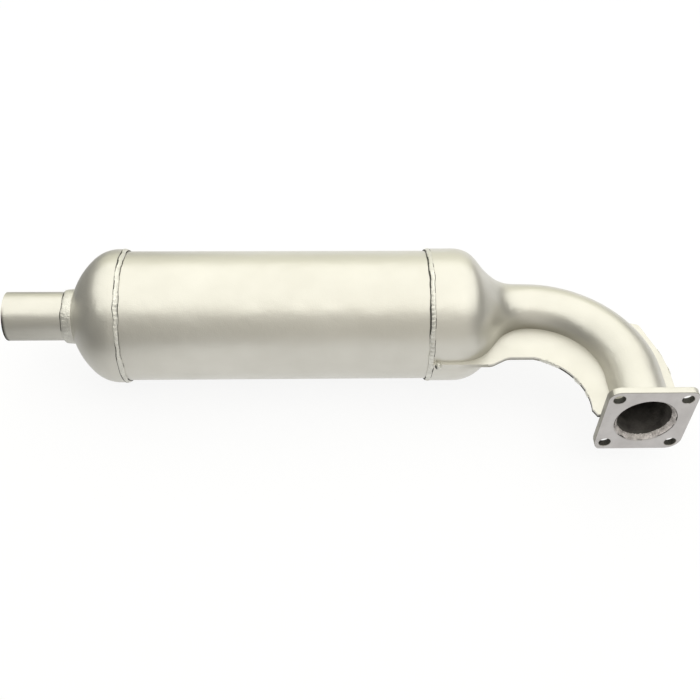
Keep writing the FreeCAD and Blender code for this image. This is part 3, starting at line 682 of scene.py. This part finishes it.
def rounded_square(half, inset):
    """A square whose four corners have their own roundings."""
    points = []
    for quarter, corner in enumerate(FLANGE_CORNERS):
        along, over = [size * MM - inset for size in corner]
        base = TURN / 4.0 * quarter
        centre = Vector((half - along, half - over))
        for i in range(CORNER_STEPS + 1):
            angle = TURN / 4.0 * i / CORNER_STEPS
            point = centre + Vector((along * math.cos(angle), over * math.sin(angle)))
            points.append((
                point.x * math.cos(base) - point.y * math.sin(base),
                point.x * math.sin(base) + point.y * math.cos(base),
            ))
    return points


def round_hole(x, z, radius, count):
    return [
        (x + radius * math.cos(TURN * i / count), z + radius * math.sin(TURN * i / count))
        for i in range(count)
    ]


def flange_loops(inset):
    """The plate's outline, bore and bolt holes at a level where the edges are drawn in by inset."""
    loops = [
        rounded_square(FLANGE_HALF - inset, inset),
        round_hole(0.0, 0.0, FLANGE_BORE + BORE_BEVEL + inset, 96),
    ]
    for x in (-BOLT_PLACE, BOLT_PLACE):
        for z in (-BOLT_PLACE, BOLT_PLACE):
            loops.append(round_hole(x, z, BOLT_RADIUS + inset, 40))
    return loops


def make_flange(name):
    """The plate, as a stack of levels from its face at Y 0 to its back."""
    levels = []
    for i in range(EDGE_STEPS + 1):
        angle = TURN / 4.0 * i / EDGE_STEPS
        y = EDGE_SOFTNESS * (1.0 - math.cos(angle))
        inset = EDGE_SOFTNESS * (1.0 - math.sin(angle))
        levels.append((y, inset))
    levels += [(FLANGE_THICK - y, inset) for y, inset in reversed(levels)]

    def build(shape):
        stacks = [
            [[shape.verts.new((x, y, z)) for x, z in loop] for loop in flange_loops(inset)]
            for y, inset in levels
        ]
        for low_stack, high_stack in zip(stacks, stacks[1:]):
            for low, high in zip(low_stack, high_stack):
                join_rings(shape, low, high)
        for stack in (stacks[0], stacks[-1]):
            edges = []
            for ring in stack:
                for j in range(len(ring)):
                    edges.append(shape.edges.get((ring[j], ring[(j + 1) % len(ring)])))
            bmesh.ops.triangle_fill(shape, edges=edges, use_beauty=True)

    return mesh_of(name, build)


outlet_lap = make_lap_weld(
    "outlet_cap_bead", OUTLET_EDGE, toward_cap=-1.0, on_shell=2.6 * MM, on_cap=2.2 * MM, seed=2,
    reach_low=0.9, reach_high=0.8, unshaded_from=182.0,
)
inlet_lap = make_lap_weld(
    "inlet_cap_bead", INLET_EDGE, toward_cap=1.0, on_shell=4.5 * MM, on_cap=0.8 * MM, seed=4,
    reach_low=3.0, reach_high=-0.1, unshaded_from=147.0,
)
plain_weld = (weld_coat,)
# A weld whose second material is painted shade beside its toes.
toe_shaded_weld = (weld_coat, deep_shade_coat)
for mesh, materials, node in (
    (outlet_lap, toe_shaded_weld, "outlet_cap_weld"),
    (inlet_lap, toe_shaded_weld, "inlet_cap_weld"),
    (make_pipe_weld("outlet_pipe_bead"), toe_shaded_weld, "outlet_pipe_weld"),
    (make_web_stitches("web_edge_beads"), plain_weld, "web_edge_welds"),
    (make_fin_stitches("fin_edge_beads"), plain_weld, "fin_edge_welds"),
    (make_tacks("lip_tack_beads"), toe_shaded_weld, "lip_tack_welds"),
    (make_flange_weld("flange_weld_bead"), plain_weld, "flange_weld"),
    (make_bore_weld("flange_bore_bead"), (bore_weld_coat, deep_shade_coat), "flange_bore_weld"),
    (make_seam_weld("body_seam_bead"), plain_weld, "body_seam_weld"),
):
    finish_piece(mesh.name, mesh, materials, node)

plate = finish_piece(
    "inlet_flange_plate", make_flange("inlet_flange_plate"),
    (flange_coat, deep_shade_coat, satin_coat, edge_shade_coat), "inlet_flange",
)
FACE_COAT, SHADED_HOLE_COAT, RIM_COAT, SHADED_RIM_COAT = range(4)
HOLE_REACH = BOLT_RADIUS + 0.4 * MM
RIM_START = 0.8 * FLANGE_HALF


def plate_coat(face):
    """Number of the plate's material on a face: its bolt holes get painted shade, and so do two sides of
    its rim.
    """
    centre = face.center
    normal = face.normal
    off_hole = Vector((abs(centre.x) - BOLT_PLACE, abs(centre.z) - BOLT_PLACE)).length
    if abs(normal.y) < 0.5 and off_hole < HOLE_REACH:
        return SHADED_HOLE_COAT
    if abs(normal.y) >= 0.97 or max(abs(centre.x), abs(centre.z)) <= RIM_START:
        return FACE_COAT
    # Painted shade on the rim's front bevel and on its left side.
    return SHADED_RIM_COAT if normal.y < -0.2 or normal.x < -0.7 else RIM_COAT


for face in plate.data.polygons:
    face.use_smooth = abs(face.normal.y) < 0.999
    face.material_index = plate_coat(face)


# Nodes that stay as they are
def paint(thing, materials, pick=None):
    """Gives a thing its materials, and each face the one whose number pick returns."""
    thing.data.materials.clear()
    for material in materials:
        thing.data.materials.append(material)
    if pick:
        for face in thing.data.polygons:
            face.material_index = pick(face)


def duct_depth(point):
    """Distance of a point from the centreline of the elbow and its leg, or None in the body."""
    if point.y < BEND_CENTRE.y and abs(point.x) < 2.0 * TUBE_RADIUS:
        return math.hypot(point.x, point.z)
    if point.x > BEND_CENTRE.x:
        flat = math.hypot(point.x - BEND_CENTRE.x, point.y - BEND_CENTRE.y)
        return math.hypot(flat - BEND_RADIUS, point.z)
    return None


def faces_duct(face):
    """True for a face of the half shells' inner side in the elbow, which the bore opens to view."""
    depth = duct_depth(face.center)
    return depth is not None and depth < TUBE_RADIUS - 0.5 * SHEET


# To the left of the bend's centre, the web's cut edge starts at this X and stays under this Y.
WEB_EDGE_X = -150.0 * MM
WEB_EDGE_Y = AXIS_Y - LIP_RADIUS + 10.0 * MM


def faces_edge(face):
    """True for the cut edge of a half shell's seam flange."""
    point = face.center
    if abs(face.normal.z) > 0.3 or abs(point.z) > 1.05 * SHEET:
        return False
    if point.x < BEND_CENTRE.x:
        return point.x > WEB_EDGE_X and point.y < WEB_EDGE_Y
    return duct_depth(point) > TUBE_RADIUS + 0.5 * SHEET


# Numbers of the materials of the half shells and the tail pipe.
OUTER_COAT, SOOT_COAT, EDGE_COAT, FAR_EDGE_COAT = range(4)
EDGE_CHANGE_X = BEND_CENTRE.x + 15.0 * MM


def upper_coat(face):
    """A half shell's duct is sooty inside, and its cut edge has a coat of its own."""
    if faces_edge(face):
        return EDGE_COAT
    return SOOT_COAT if faces_duct(face) else OUTER_COAT


def lower_coat(face):
    """The lower half's cut edge has two tones of painted shade, with the second, lighter one further
    from the bolted flange.
    """
    number = upper_coat(face)
    if number == EDGE_COAT and face.center.x <= EDGE_CHANGE_X:
        return FAR_EDGE_COAT
    return number


def pipe_wall_coat(face):
    """The tail pipe's inside is sooty."""
    away = math.hypot(face.center.y - AXIS_Y, face.center.z)
    return SOOT_COAT if away < PIPE_RADIUS - 0.5 * SHEET else OUTER_COAT


for name in ("body_shell", "outlet_end_cap"):
    paint(nodes[name], (satin_coat,))
for name in ("inlet_tube", "inlet_tube_plug", "outlet_pipe_plug", "inlet_baffle", "outlet_baffle"):
    paint(nodes[name], (inner_steel,))
paint(nodes["inlet_half_shell_upper"], (duct_coat, soot, satin_coat), upper_coat)
paint(nodes["inlet_half_shell_lower"], (duct_coat, soot, deep_shade_coat, edge_shade_coat), lower_coat)
paint(nodes["outlet_pipe"], (pipe_coat, soot), pipe_wall_coat)


# Floor, light and camera
WHITE = (1.0, 1.0, 1.0, 1.0)
MIDDLE = (-0.28, 0.11, 0.0)


def white_glow(tree, strength):
    glow = tree.nodes.new("ShaderNodeEmission")
    glow.inputs["Color"].default_value = WHITE
    feed(tree, glow.inputs["Strength"], strength)
    return glow.outputs[0]


def make_floor():
    """A pale floor that shows nearly white, with a trace of the shadow on it."""
    reach = 12.0
    white_share = 0.88
    mesh = bpy.data.meshes.new("floor")
    corners = ((-reach, -reach), (reach, -reach), (reach, reach), (-reach, reach))
    mesh.from_pydata([(x, y, FLOOR_Z) for x, y in corners], [], [(0, 1, 2, 3)])
    floor = bpy.data.objects.new("floor", mesh)
    bpy.context.scene.collection.objects.link(floor)
    material, tree, shader = new_material("floor")
    shader.inputs["Base Color"].default_value = (0.86, 0.86, 0.85, 1.0)
    shader.inputs["Roughness"].default_value = 0.9
    path = tree.nodes.new("ShaderNodeLightPath").outputs
    seen = calculate(tree, "MAXIMUM", path["Is Camera Ray"], path["Is Transmission Ray"])
    share = calculate(tree, "MULTIPLY", seen, white_share)
    surface = mix_shaders(tree, share, shader.outputs[0], white_glow(tree, 1.0))
    # In the paint's reflections the floor gets darker towards the tail pipe.
    along = axes_of(tree, "ShaderNodeNewGeometry", "Position")["X"]
    fade = map_range(tree, along, from_low=-0.76, from_high=-0.46, to_low=0.12, to_high=0.98)
    surface = mix_shaders(tree, path["Is Glossy Ray"], surface, white_glow(tree, fade))
    # From below the floor lets the view through.
    below = tree.nodes.new("ShaderNodeNewGeometry").outputs["Backfacing"]
    clear = tree.nodes.new("ShaderNodeBsdfTransparent").outputs[0]
    surface = mix_shaders(tree, below, surface, clear)
    tree.links.new(surface, tree.nodes["Material Output"].inputs["Surface"])
    paint(floor, (material,))


def add_softbox(name, place, target, width, depth, radiance, colour):
    """A plain soft lamp. Its power follows from the brightness that its face shows."""
    light = bpy.data.lights.new(name, "AREA")
    light.shape = "RECTANGLE"
    light.size = width
    light.size_y = depth
    light.energy = radiance * math.pi * width * depth
    light.color = colour
    lamp = bpy.data.objects.new(name, light)
    bpy.context.scene.collection.objects.link(lamp)
    lamp.location = place
    lamp.rotation_euler = (Vector(target) - Vector(place)).to_track_quat("-Z", "Y").to_euler()


def make_room():
    """A dim warm room that is darker towards both ends, behind a backdrop that shows white."""
    world = bpy.data.worlds.new("studio")
    bpy.context.scene.world = world
    world.use_nodes = True
    tree = world.node_tree
    room = tree.nodes["Background"]
    room.inputs["Color"].default_value = (1.0, 0.97, 0.91, 1.0)
    across = axes_of(tree, "ShaderNodeTexCoord", "Generated")["X"]
    left = map_range(tree, across, from_low=-0.50, from_high=-0.10, to_low=0.15, to_high=0.35)
    right = map_range(tree, across, from_low=0.50, from_high=0.90, to_low=1.0, to_high=0.35)
    tree.links.new(product(tree, left, right), room.inputs["Strength"])
    backdrop = tree.nodes.new("ShaderNodeBackground")
    backdrop.inputs["Color"].default_value = WHITE
    seen = tree.nodes.new("ShaderNodeLightPath").outputs["Is Camera Ray"]
    surface = mix_shaders(tree, seen, room.outputs[0], backdrop.outputs[0])
    tree.links.new(surface, tree.nodes["World Output"].inputs["Surface"])


make_floor()
add_softbox(
    "top_softbox", place=(-0.1, 0.38, 1.55), target=(-0.1, 0.11, 0.0), width=5.3, depth=3.5,
    radiance=1.42, colour=(1.0, 1.0, 0.94),
)
add_softbox(
    "back_softbox", place=(-0.28, 3.0, 0.95), target=MIDDLE, width=4.4, depth=1.8,
    radiance=0.6, colour=(0.99, 1.0, 0.74),
)
add_softbox(
    "front_softbox", place=(0.25, -1.90, 1.31), target=MIDDLE, width=2.5, depth=3.1,
    radiance=0.345, colour=(1.0, 0.955, 0.87),
)
make_room()

# The photograph's viewing angle: where the camera stands and its three directions.
CAMERA_PLACE = Vector((-0.30057, -0.53020, 0.68067))
CAMERA_RIGHT = Vector((0.99938, -0.02767, 0.02181))
CAMERA_UP = Vector((0.00573, 0.73852, 0.67421))
CAMERA_BACK = Vector((-0.03476, -0.67367, 0.73822))
LENS = 48.84
SENSOR_WIDTH = 36.0

camera_data = bpy.data.cameras.new("camera")
camera_data.lens = LENS
camera_data.sensor_width = SENSOR_WIDTH
camera = bpy.data.objects.new("camera", camera_data)
bpy.context.scene.collection.objects.link(camera)
camera_turn = Matrix((CAMERA_RIGHT, CAMERA_UP, CAMERA_BACK)).transposed()
camera.matrix_world = Matrix.Translation(CAMERA_PLACE) @ camera_turn.to_4x4()
bpy.context.scene.camera = camera

bpy.context.scene.view_settings.view_transform = "Standard"
